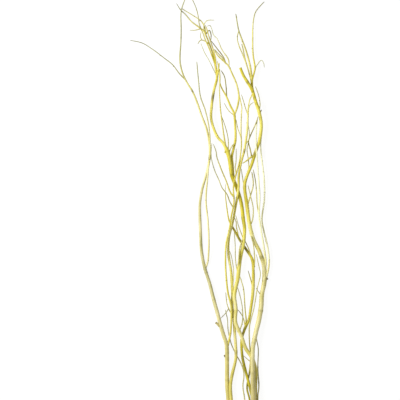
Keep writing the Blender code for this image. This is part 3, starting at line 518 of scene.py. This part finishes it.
# Growth along a shoot: swollen collars, leaf scars, buds and a tapering tip. A pair for a width is a
# share of the shoot's radius and mm added to it.
growing = {
    "collarFlare": 0.55,       # a side shoot widens by this share of its radius at its root
    "collarWidth": (1.1, 1.5),
    "collarRoom": 0.94,        # share of its parent's radius that its root may fill
    "rootTuck": 0.35,          # how much a root nearly as stout as its parent thins into it
    "rootRing": 1.1,           # parent radii from the root to the dark ring round it
    "rootWidth": (0.8, 1.2),
    "seatSwell": 0.14,         # its parent swells round it
    "seatWidth": (1.6, 2.5),
    "rootDark": 0.5, "seatDark": 0.22, "scarDark": 0.2, "tipDark": 0.45,
    "forkLength": 2.2,         # radii over which a stem that ends in a fork rounds off
    "forkShare": 0.6,
    "scarGap": (24.0, 44.0),   # mm between leaf scars on a twig
    "scarGapStout": (48.0, 85.0),
    "scarStart": 0.7,          # share of a gap before the first one
    "scarSize": (0.6, 1.2),
    "scarSwell": 0.07,
    "scarWidth": (0.5, 1.4),
    "scarRing": (0.25, 1.0),
    "scarFree": 4.0,           # mm at a tip
    "markSwell": 0.1,
    "stoutFrom": 2.5,          # mm radius from which a shoot is stout
    "slimGrey": 0.8,           # how much greyer bark weathers as a shoot thins
    "tipLength": 9.0,          # mm over which a twig's tip tapers
    "tipShare": 0.45,
    "budTurn": 2.4,            # rad round the shoot from one bud to the next
    "budStray": 0.3,           # rad
    "budLean": 0.42,           # rad away from the shoot
    "budShare": 0.8,           # of the scars that keep a bud
    "budUpTo": 3.4,            # mm radius of the stoutest bark with buds
    "budSeat": 0.86,           # share of the radius
    "budLength": 3.1,          # mm
    "budSizes": (0.65, 1.1),
    "thinFrom": 1.1,           # mm radius under which buds are small
    "thinBud": 0.72,
    "shootApart": 137.0,       # mm along the bark's pattern from one shoot to the next
    "seed": 41,
}


def ringAt(along, centre, width, radius=0.0):  # a soft hump, 1 at its centre
    if isinstance(width, tuple):
        width = width[0] * radius + width[1]
    return np.exp(-((along - centre) / width) ** 2)


def growShoots(stem, shoots, heights, middle):
    rng = np.random.default_rng(growing["seed"] + len(stem["node"]))
    mine = [n for n, one in enumerate(shoots) if one["stem"] == stem["node"]]
    grown = []
    buds = []
    for n in mine:
        one = shoots[n]
        along, radius = one["along"], one["radius"].copy()
        place = np.column_stack([one["plan"] - middle, heights[n]])
        stout = radius.max() > growing["stoutFrom"]
        knot = np.zeros(len(along))
        swell = np.zeros(len(along))
        if one["parent"] is not None:
            born = shoots[one["parent"]]["radius"][one["root"]]
            share, extra = growing["collarWidth"]
            room = growing["collarRoom"] * born / radius[0] - 1
            swell += min(growing["collarFlare"], max(0.0, room)) * np.exp(-along / (share * born + extra))
            if room < growing["collarFlare"]:
                swell -= growing["rootTuck"] * np.exp(-along / born)
            ring = ringAt(along, growing["rootRing"] * born, growing["rootWidth"], born)
            knot += growing["rootDark"] * ring
        for child in (shoots[other] for other in mine):
            if child["parent"] == n:
                seat = along[min(child["root"], len(along) - 1)]
                share = min(1.0, child["radius"][0] / radius[child["root"]])
                hump = ringAt(along, seat, growing["seatWidth"], child["radius"][0])
                swell += growing["seatSwell"] * share * hump
                knot += growing["seatDark"] * share * hump
        gap = growing["scarGapStout"] if stout else growing["scarGap"]
        tangent = np.gradient(place, axis=0)
        tangent /= np.linalg.norm(tangent, axis=1)[:, None]
        scar = rng.uniform(*gap) * growing["scarStart"]
        turn = rng.uniform(0, 6.28)  # rad
        while scar < along[-1] - growing["scarFree"]:
            sample = int(np.argmin(abs(along - scar)))
            girth = radius[sample]
            size = rng.uniform(*growing["scarSize"])
            swell += growing["scarSwell"] * size * ringAt(along, scar, growing["scarWidth"], girth)
            knot += growing["scarDark"] * size * ringAt(along, scar, growing["scarRing"], girth)
            turn += growing["budTurn"] + rng.uniform(-growing["budStray"], growing["budStray"])
            if girth < growing["budUpTo"] and rng.random() < growing["budShare"]:
                aim = Vector(tangent[sample])
                out = Matrix.Rotation(turn, 3, aim) @ aim.orthogonal().normalized()
                if place[sample][2] < girth + growing["budLength"] and out.z < 0:
                    out.negate()    # the floor is in the way
                seat = Vector(place[sample]) + out * float(girth * growing["budSeat"])
                lean = (aim + out * np.tan(growing["budLean"])).normalized()
                length = growing["budLength"] * rng.uniform(*growing["budSizes"])
                if girth < growing["thinFrom"]:
                    length *= growing["thinBud"]
                buds.append((seat * mm, lean, out, length * mm))
            scar += rng.uniform(*gap)
        for x, y, strength, width in stem.get("marks", {}).get(one["name"], ()):
            sample = int(np.argmin(np.linalg.norm(one["plan"] - np.array((x, y)), axis=1)))
            hump = ringAt(along, along[sample], width)
            knot += strength * hump
            swell += growing["markSwell"] * strength * hump
        radius *= 1 + swell
        if one["name"] in stem.get("forked", ()):
            last = np.clip((along[-1] - along) / (growing["forkLength"] * radius[-1]), 0, 1)
            radius *= growing["forkShare"] + (1 - growing["forkShare"]) * np.sqrt(1 - (1 - last) ** 2)
        elif one["name"] not in stem.get("blunt", ()):
            last = np.clip((along[-1] - along) / growing["tipLength"], 0, 1)
            radius *= growing["tipShare"] + (1 - growing["tipShare"]) * np.sqrt(last)
            knot += growing["tipDark"] * (1 - last)
        bark = stem["looks"].get(one["name"], stem["looks"]["twigs"])
        tint, ash, grey, dark = [spread(bark[key], along) for key in ("tint", "ash", "grey", "dark")]
        slim = np.clip(1 - radius / growing["stoutFrom"], 0, 1)
        # The look's darkening joins the ring darkening here: it holds painted shade, and where it is
        # negative it is painted light over shadows from crossing stems
        grown.append({
            "place": place * mm, "girth": radius * mm, "along": along + growing["shootApart"] * n,
            "knot": np.clip(knot + dark, 0, 1), "stout": np.full(len(along), float(stout)),
            "tint": tint, "ash": ash, "grey": grey + growing["slimGrey"] * slim,
        })
    return grown, buds


def giveField(mesh, name, kind, values):  # one value or vector for each point
    slot = {"FLOAT": "value", "FLOAT_VECTOR": "vector"}[kind]
    field = mesh.attributes.new(name, kind, "POINT")
    field.data.foreach_set(slot, np.array(values, dtype=np.float32).ravel())


def pathMesh(name, grown):  # one open edge chain for each shoot, with what the tree needs at each point
    mesh = bpy.data.meshes.new(name)
    edges = []
    start = 0
    for one in grown:
        count = len(one["along"])
        edges += [(start + k, start + k + 1) for k in range(count - 1)]
        start += count
    mesh.from_pydata(np.vstack([one["place"] for one in grown]).tolist(), edges, [])
    for field in ("girth", "along", "knot", "stout", "tint", "ash", "grey"):
        giveField(mesh, field, "FLOAT", np.concatenate([one[field] for one in grown]))
    return mesh


def budMesh(name, buds):  # one point for each bud
    seats, leans, outs, lengths = zip(*buds)
    mesh = bpy.data.meshes.new(name)
    mesh.from_pydata([tuple(seat) for seat in seats], [], [])
    giveField(mesh, "budAim", "FLOAT_VECTOR", leans)
    giveField(mesh, "budOut", "FLOAT_VECTOR", outs)
    giveField(mesh, "budSize", "FLOAT", lengths)
    return mesh


def guideObject(mesh):
    guide = bpy.data.objects.new(mesh.name, mesh)
    bpy.context.scene.collection.objects.link(guide)
    return guide


budLook = {"sides": 8, "rings": 6, "fall": 1.6,
           "width": 0.36, "thickness": 0.26, "point": 0.72, "sink": 0.1}  # shares of its length


def budShape():  # one pointed bud of unit length, flat against its shoot and rounded outside
    sides, rings = budLook["sides"], budLook["rings"]
    places, faces = [], []
    for ring in range(rings + 1):
        rise = (1 - np.cos(np.pi * ring / rings)) / 2
        girth = np.sin(np.pi * ring / rings) * (1 - budLook["point"] * rise ** budLook["fall"])
        for turn in range(sides if 0 < ring < rings else 1):
            angle = 2 * np.pi * turn / sides
            places.append((budLook["thickness"] * girth * np.cos(angle),
                           budLook["width"] * girth * np.sin(angle), rise - budLook["sink"]))
    top = len(places) - 1
    for this in range(sides):
        following = (this + 1) % sides
        faces.append((0, 1 + following, 1 + this))
        for start in range(1, top - sides, sides):
            faces.append((start + this, start + following, start + sides + following, start + sides + this))
        faces.append((top - sides + this, top - sides + following, top))
    mesh = bpy.data.meshes.new("willowBud")
    mesh.from_pydata(places, [], faces)
    mesh.shade_smooth()
    return mesh


# Inputs go by name, or in order. Each is a value, a socket to link from, or a list of such sockets.
def addNode(tree, kind, inputs=(), **settings):
    node = tree.nodes.new(kind)
    for name, value in settings.items():
        setattr(node, name, value)
    for socket, given in inputs.items() if isinstance(inputs, dict) else enumerate(inputs):
        for value in given if isinstance(given, list) else [given]:
            if isinstance(value, bpy.types.NodeSocket):
                tree.links.new(value, node.inputs[socket])
            else:
                node.inputs[socket].default_value = value
    return node.outputs


# The tree sweeps a round section along every shoot, wrinkles the bark and seats the buds
barkSweep = {
    "stoutSides": 22,
    "slimSides": 11,
    "lumpDepth": 0.10,     # share of the radius
    "lumpWidth": 12.0,     # mm round the shoot
    "lumpLength": 26.0,    # mm along the shoot
    "wrinkleDepth": 0.045,
    "wrinkleWidth": 1.6,
    "wrinkleLength": 22.0,
    "crease": 0.9,         # rad, the edge angle from which an edge stays crisp
}


def sweepTree():
    tree = bpy.data.node_groups.new("sweepWillowShoots", "GeometryNodeTree")
    add = partial(addNode, tree)
    sockets = {"Geometry": "paths", "Int": "stoutSides slimSides",
               "Float": "lumpDepth lumpWidth lumpLength wrinkleDepth wrinkleWidth wrinkleLength crease",
               "Material": "bark cutFace budSkin", "Object": "budPoints bud"}
    for kind, names in sockets.items():
        for name in names.split():
            tree.interface.new_socket(name=name, in_out="INPUT", socket_type="NodeSocket" + kind)
    tree.interface.new_socket(name="shoots", in_out="OUTPUT", socket_type="NodeSocketGeometry")
    given = add("NodeGroupInput")
    girth, along, stout, budSize, ring, barkPlace, budAim, budOut = [
        add("GeometryNodeInputNamedAttribute", {"Name": name}, data_type=kind)["Attribute"]
        for kind, names in (("FLOAT", ("girth", "along", "stout", "budSize")),
                            ("FLOAT_VECTOR", ("ring", "barkPlace", "budAim", "budOut")))
        for name in names]
    onPoints = {"data_type": "FLOAT_VECTOR", "domain": "POINT"}

    # Stout shoots get more sides than slim ones
    isStout = add("FunctionNodeCompare", (stout, 0.5), data_type="FLOAT")[0]
    halves = add("GeometryNodeSeparateGeometry", (given["paths"], isStout), domain="POINT")
    tubes = []
    for half, sides in (("Selection", "stoutSides"), ("Inverted", "slimSides")):
        line = add("GeometryNodeMeshToCurve", (halves[half],))[0]
        circle = add("GeometryNodeCurvePrimitiveCircle", {"Resolution": given[sides], "Radius": 1.0})[0]
        place = add("GeometryNodeInputPosition")[0]
        section = add("GeometryNodeStoreNamedAttribute",
                      {"Geometry": circle, "Name": "ring", "Value": place}, **onPoints)[0]
        tubes += [add("GeometryNodeCurveToMesh",
                      {"Curve": line, "Profile Curve": section, "Scale": girth, "Fill Caps": True})[0]]
    joined = add("GeometryNodeJoinGeometry", (tubes,))[0]

    # barkPlace is the bark's own place in mm: across the section in x and y, along the shoot in z
    inMm = add("ShaderNodeMath", (girth, mm), operation="DIVIDE")[0]
    across = add("ShaderNodeVectorMath", {"Vector": ring, "Scale": inMm}, operation="SCALE")[0]
    lengthwise = add("ShaderNodeCombineXYZ", {"Z": along})[0]
    whole = add("ShaderNodeVectorMath", (across, lengthwise), operation="ADD")[0]
    mapped = add("GeometryNodeStoreNamedAttribute",
                 {"Geometry": joined, "Name": "barkPlace", "Value": whole}, **onPoints)[0]

    # Lumps and wrinkles, each a noise stretched to its own size and as deep as a share of the girth
    depths = []
    for name, detail in (("lump", 1.0), ("wrinkle", 2.0)):
        size = [given[name + side] for side in ("Width", "Width", "Length")]
        stretch = add("ShaderNodeCombineXYZ", size)[0]
        spot = add("ShaderNodeVectorMath", (barkPlace, stretch), operation="DIVIDE")[0]
        noise = add("ShaderNodeTexNoise", {"Vector": spot, "Scale": 1.0, "Detail": detail})[0]
        centred = add("ShaderNodeMath", (noise, 0.5), operation="SUBTRACT")[0]
        depths += [add("ShaderNodeMath", (centred, given[name + "Depth"]), operation="MULTIPLY")[0]]
    share = add("ShaderNodeMath", depths, operation="ADD")[0]
    thickness = add("ShaderNodeMath", (girth, 2.0), operation="MULTIPLY")[0]
    depth = add("ShaderNodeMath", (share, thickness), operation="MULTIPLY")[0]
    normal = add("GeometryNodeInputNormal")[0]
    push = add("ShaderNodeVectorMath", {"Vector": normal, "Scale": depth}, operation="SCALE")[0]
    wrinkled = add("GeometryNodeSetPosition", {"Geometry": mapped, "Offset": push})[0]
    smooth = add("GeometryNodeSetShadeSmooth", (wrinkled,), domain="FACE")[0]
    angle = add("GeometryNodeInputMeshEdgeAngle")["Unsigned Angle"]
    sharp = add("FunctionNodeCompare", (angle, given["crease"]), data_type="FLOAT")[0]
    crisp = add("GeometryNodeSetShadeSmooth", (smooth, sharp, False), domain="EDGE")[0]
    barked = add("GeometryNodeSetMaterial", {"Geometry": crisp, "Material": given["bark"]})[0]

    # A bud on every bud point, leaning along its shoot
    points = add("GeometryNodeObjectInfo", {"Object": given["budPoints"]})["Geometry"]
    bud = add("GeometryNodeObjectInfo", {"Object": given["bud"]})["Geometry"]
    skinned = add("GeometryNodeSetMaterial", {"Geometry": bud, "Material": given["budSkin"]})[0]
    lean = add("FunctionNodeAxesToRotation", (budAim, budOut), primary_axis="Z", secondary_axis="X")[0]
    seated = add("GeometryNodeInstanceOnPoints",
                 {"Points": points, "Instance": skinned, "Rotation": lean, "Scale": budSize})[0]
    both = add("GeometryNodeJoinGeometry", ([barked, seated],))[0]
    real = add("GeometryNodeRealizeInstances", (both,))[0]

    # Only the caps at a shoot's ends have more than four corners: sawn or snapped wood
    corners = add("GeometryNodeCornersOfFace")["Total"]
    isCut = add("FunctionNodeCompare", (corners, 4.0), data_type="FLOAT")[0]
    ended = add("GeometryNodeSetMaterial",
                {"Geometry": real, "Selection": isCut, "Material": given["cutFace"]})[0]
    add("NodeGroupOutput", (ended,))
    return tree


def linear(code):  # sRGB hex to linear colour
    parts = [int(code[k:k + 2], 16) / 255 for k in (1, 3, 5)]
    return tuple(p / 12.92 if p <= 0.04045 else ((p + 0.055) / 1.055) ** 2.4 for p in parts) + (1.0,)


def openMaterial(name, finish):  # even values are set on the shader itself
    material = bpy.data.materials.new(name)
    material.use_nodes = True
    surface = material.node_tree.nodes["Principled BSDF"].inputs
    for socket, value in finish.items():
        surface[socket].default_value = value
    return material, surface


# Curly willow bark, left on its shoot and air dried: thin and satin, with fine lengthwise fibres, corky
# breathing pores and dark rings at the leaf scars. Tint runs from bleached cream to ripe olive, and ash
# lays weathered tan or grey over it; tint, ash and the scar darkening also carry the painted shade and
# painted light set shoot by shoot. Each From pair is where a pattern starts to show and where it is full.
driedBark = {
    "cream": "#ECEBBE", "straw": "#DDD364", "gold": "#CABC26", "olive": "#90880C",
    "strawAt": 0.38, "goldAt": 0.72,            # tints
    "tan": "#CDBE90", "grey": "#8A8E6C", "scar": "#4A4218", "pore": "#A89A62", "fibre": "#B4A664",
    "fibreWidth": 0.55, "fibreLength": 16.0,    # mm
    "mottleWidth": 9.0, "mottleLength": 38.0,   # mm
    "fibreNoise": (3.0, 0.55), "mottleNoise": (2.0, 0.5),  # detail and roughness
    "poreWidth": 3.4, "poreLength": 5.5,        # mm from one pore to the next
    "poreEdge": (0.1, 0.2),                     # share of that distance
    "mottleTint": 0.9, "fibreShare": 0.5, "poreShare": 0.55, "scarShare": 0.9,
    "greyFrom": (0.45, 0.95), "ashFrom": (0.3, 0.7), "ashLeast": 0.75,
    "fibreFrom": (0.4, 0.75), "scarFrom": (0.08, 0.95),
    "bump": 0.45, "relief": 0.00016,            # m
    "finish": {"Roughness": 0.42, "IOR": 1.45, "Specular IOR Level": 0.45},
}


def airDriedWillowBark(name):
    material, surface = openMaterial(name, driedBark["finish"])
    add = partial(addNode, material.node_tree)
    tint, ash, grey, knot = [add("ShaderNodeAttribute", attribute_name=field)["Fac"]
                             for field in ("tint", "ash", "grey", "knot")]
    place = add("ShaderNodeAttribute", attribute_name="barkPlace")["Vector"]

    # The three patterns, each read at the bark's own place divided by its real size in mm
    places = []
    for pattern in ("fibre", "mottle", "pore"):
        wide, long = driedBark[pattern + "Width"], driedBark[pattern + "Length"]
        places += [add("ShaderNodeVectorMath", (place, (wide, wide, long)), operation="DIVIDE")[0]]
    fibre, mottle = [
        add("ShaderNodeTexNoise", {"Vector": spot, "Scale": 1.0, "Detail": detail, "Roughness": rough})[0]
        for spot, (detail, rough) in zip(places, (driedBark["fibreNoise"], driedBark["mottleNoise"]))]
    nearest = add("ShaderNodeTexVoronoi", {"Vector": places[2], "Scale": 1.0})["Distance"]
    pore = add("ShaderNodeMapRange", (nearest, *driedBark["poreEdge"], 1.0, 0.0))[0]

    # Ripeness, broken up by the mottle
    depth = driedBark["mottleTint"]
    mottled = add("ShaderNodeMath", (mottle, depth, -0.5 * depth), operation="MULTIPLY_ADD")[0]
    ripe = add("ShaderNodeMath", (tint, mottled), operation="ADD")[0]
    ramp = add("ShaderNodeValToRGB", (ripe,))["Color"]
    stops = ramp.node.color_ramp.elements
    stops[0].color = linear(driedBark["cream"])
    stops[1].color = linear(driedBark["olive"])
    for middle in ("straw", "gold"):
        stops.new(driedBark[middle + "At"]).color = linear(driedBark[middle])

    # Weathering over it: tan where the bark is sound and grey where it is thin or old
    worn = add("ShaderNodeMath", (mottle, grey), operation="ADD")[0]
    greyShare = add("ShaderNodeMapRange", (worn, *driedBark["greyFrom"]))[0]
    tanColour, greyColour = linear(driedBark["tan"]), linear(driedBark["grey"])
    weathered = add("ShaderNodeMix", {0: greyShare, 6: tanColour, 7: greyColour}, data_type="RGBA")[2]
    patches = add("ShaderNodeMapRange", (mottle, *driedBark["ashFrom"], driedBark["ashLeast"], 1.0))[0]
    ashShare = add("ShaderNodeMath", (ash, patches), operation="MULTIPLY")[0]
    colour = add("ShaderNodeMix", {0: ashShare, 6: ramp, 7: weathered}, data_type="RGBA")[2]

    # Fibres, pores and scars darken it in turn; the scar layer also carries each shoot's painted shade and
    # painted light from its look
    fibreShare = add("ShaderNodeMapRange", (fibre, *driedBark["fibreFrom"], 0, driedBark["fibreShare"]))[0]
    poreShare = add("ShaderNodeMath", (pore, driedBark["poreShare"]), operation="MULTIPLY")[0]
    ragged = add("ShaderNodeMath", (fibre, 0.5), operation="ADD")[0]
    torn = add("ShaderNodeMath", (knot, ragged), operation="MULTIPLY")[0]
    scarShare = add("ShaderNodeMapRange", (torn, *driedBark["scarFrom"], 0, driedBark["scarShare"]))[0]
    for share, layer, blend in ((fibreShare, "fibre", "MULTIPLY"), (poreShare, "pore", "MIX"),
                                (scarShare, "scar", "MIX")):
        colour = add("ShaderNodeMix", {0: share, 6: colour, 7: linear(driedBark[layer])},
                     data_type="RGBA", blend_type=blend)[2]
    height = add("ShaderNodeMath", (pore, 0.5, fibre), operation="MULTIPLY_ADD")[0]
    bump = add("ShaderNodeBump", {"Height": height, "Strength": driedBark["bump"],
                                  "Distance": driedBark["relief"]})[0]
    material.node_tree.links.new(colour, surface["Base Color"])
    material.node_tree.links.new(bump, surface["Normal"])
    return material


# Sawn willow wood at the feet and snapped stubs: dull and pale, with growth rings and a dark pith
sawnWood = {
    "wood": "#DCD0A4", "ring": "#BCA870", "pith": "#6E6040",
    "ringWidth": 1.5, "pithRadius": 0.7,        # mm
    "pithCore": 0.7,                            # share of the pith that is fully dark
    "ringShare": 0.7,
    "finish": {"Roughness": 0.75, "IOR": 1.5},
}


def sawnWillowWood():
    material, surface = openMaterial("sawnWillowWood", sawnWood["finish"])
    add = partial(addNode, material.node_tree)
    place = add("ShaderNodeAttribute", attribute_name="barkPlace")["Vector"]
    across = add("ShaderNodeVectorMath", (place, (1, 1, 0)), operation="MULTIPLY")[0]
    fromPith = add("ShaderNodeVectorMath", (across,), operation="LENGTH")["Value"]
    halfRing = sawnWood["ringWidth"] / 2
    ring = add("ShaderNodeMath", (fromPith, halfRing), operation="PINGPONG")[0]
    ringShare = add("ShaderNodeMapRange", (ring, 0.0, halfRing, 0.0, sawnWood["ringShare"]))[0]
    edge = sawnWood["pithRadius"]
    pithShare = add("ShaderNodeMapRange", (fromPith, sawnWood["pithCore"] * edge, edge, 1.0, 0.0))[0]
    colour = linear(sawnWood["wood"])
    for share, layer in ((ringShare, "ring"), (pithShare, "pith")):
        colour = add("ShaderNodeMix", {0: share, 6: colour, 7: linear(sawnWood[layer])},
                     data_type="RGBA")[2]
    material.node_tree.links.new(colour, surface["Base Color"])
    return material


# A dried winter bud: one waxy scale that hugs the shoot, olive brown and darker in patches
budScale = {"base": "#8E8434", "patch": "#52481E", "patchSize": 0.8,  # mm
            "finish": {"Roughness": 0.42, "IOR": 1.48}}


def waxyBudScale():
    material, surface = openMaterial("waxyWillowBudScale", budScale["finish"])
    add = partial(addNode, material.node_tree)
    place = add("ShaderNodeTexCoord")["Object"]
    scale = 1 / (budScale["patchSize"] * mm)
    patch = add("ShaderNodeTexNoise", {"Vector": place, "Scale": scale, "Detail": 2.0})[0]
    colour = add("ShaderNodeMix", {0: patch, 6: linear(budScale["base"]), 7: linear(budScale["patch"])},
                 data_type="RGBA")[2]
    material.node_tree.links.new(colour, surface["Base Color"])
    return material


stems = [leftStem, innerLeftStem, middleStem, oliveStem, rightStem,
         slimYellowStem, slimGreyStem, slimRightStem]


def growStem(stem, shoots, heights, middle, tree, given):
    grown, buds = growShoots(stem, shoots, heights, middle)
    paths = guideObject(pathMesh(stem["piece"] + "Paths", grown))
    points = guideObject(budMesh(stem["piece"] + "BudPoints", buds))
    bark = airDriedWillowBark(stem["piece"] + "AirDriedBark")
    sweep = paths.modifiers.new("sweepWillowShoots", "NODES")
    sweep.node_group = tree
    given = {**given, "bark": bark, "budPoints": points}
    for item in tree.interface.items_tree:
        if item.in_out == "INPUT" and item.name in given:
            sweep[item.identifier] = given[item.name]
    bpy.context.view_layer.update()
    mesh = bpy.data.meshes.new_from_object(paths.evaluated_get(bpy.context.evaluated_depsgraph_get()))
    mesh.name = stem["piece"]
    paths.modifiers.clear()
    for guide in (paths, points):
        bpy.data.meshes.remove(guide.data)  # its object goes with it
    piece = bpy.data.objects.new(stem["piece"], mesh)
    bpy.context.scene.collection.objects.link(piece)
    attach(piece, "root")
    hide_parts(stem["node"])
    mesh.calc_loop_triangles()
    print(stem["piece"], len(grown), "shoots", len(buds), "buds", len(mesh.loop_triangles), "triangles")


def growBunch():
    shoots = layOut(stems)
    heights = restHeights(shoots)
    low = np.min([(one["plan"] - one["radius"][:, None]).min(axis=0) for one in shoots], axis=0)
    high = np.max([(one["plan"] + one["radius"][:, None]).max(axis=0) for one in shoots], axis=0)
    middle = (low + high) / 2
    print("laid", len(shoots), "shoots")
    tree = sweepTree()
    budGuide = guideObject(budShape())
    given = {**barkSweep, "cutFace": sawnWillowWood(), "budSkin": waxyBudScale(), "bud": budGuide}
    for stem in stems:
        growStem(stem, shoots, heights, middle, tree, given)
    bpy.data.meshes.remove(budGuide.data)
    bpy.data.node_groups.remove(tree)
    return middle


# The bunch lies on backlit white acrylic, which is matt, even and nearly free of shadows, with a wide soft
# light over it and a long lens straight above
studio = {
    "floorSize": 9.0,
    "floor": {"Base Color": linear("#565654"), "Roughness": 0.9, "Emission Color": linear("#FFFFFF"),
              "Emission Strength": 0.91},
    "sky": {"Color": linear("#FFFFFF"), "Strength": 0.56},
    "lightSize": 1.2, "lightPower": 84.0, "lightPlace": (-1.8, 0.6, 1.8),
    "lens": 200.0, "sensor": 36.0, "clipEnd": 50.0, "frameWidth": 1.0,
    "frameCentre": (-89.0, 560.0),   # mm, on the same plan as the routes
}


def setStudio(middle):
    scene = bpy.context.scene
    bpy.ops.mesh.primitive_plane_add(size=studio["floorSize"])
    floor = bpy.context.object
    floor.name = "paleFloor"
    floor.data.materials.append(openMaterial("backlitWhiteAcrylic", studio["floor"])[0])

    world = bpy.data.worlds.new("softStudio")
    world.use_nodes = True
    for socket, value in studio["sky"].items():
        world.node_tree.nodes["Background"].inputs[socket].default_value = value
    scene.world = world

    light = bpy.data.lights.new("softBox", "AREA")
    light.shape = "SQUARE"
    light.size = studio["lightSize"]
    light.energy = studio["lightPower"]
    lamp = bpy.data.objects.new("softBox", light)
    lamp.location = studio["lightPlace"]
    lamp.rotation_euler = (-lamp.location).to_track_quat("-Z", "Y").to_euler()

    lens = bpy.data.cameras.new("longLens")
    lens.lens = studio["lens"]
    lens.sensor_width = studio["sensor"]
    lens.clip_end = studio["clipEnd"]
    camera = bpy.data.objects.new("longLens", lens)
    centre = (np.array(studio["frameCentre"]) - middle) * mm
    camera.location = (centre[0], centre[1], studio["frameWidth"] * studio["lens"] / studio["sensor"])
    for item in (lamp, camera):
        scene.collection.objects.link(item)
    scene.camera = camera
    scene.view_settings.view_transform = "Standard"


middle = growBunch()
print("bunch grown")
setStudio(middle)
print("studio set")
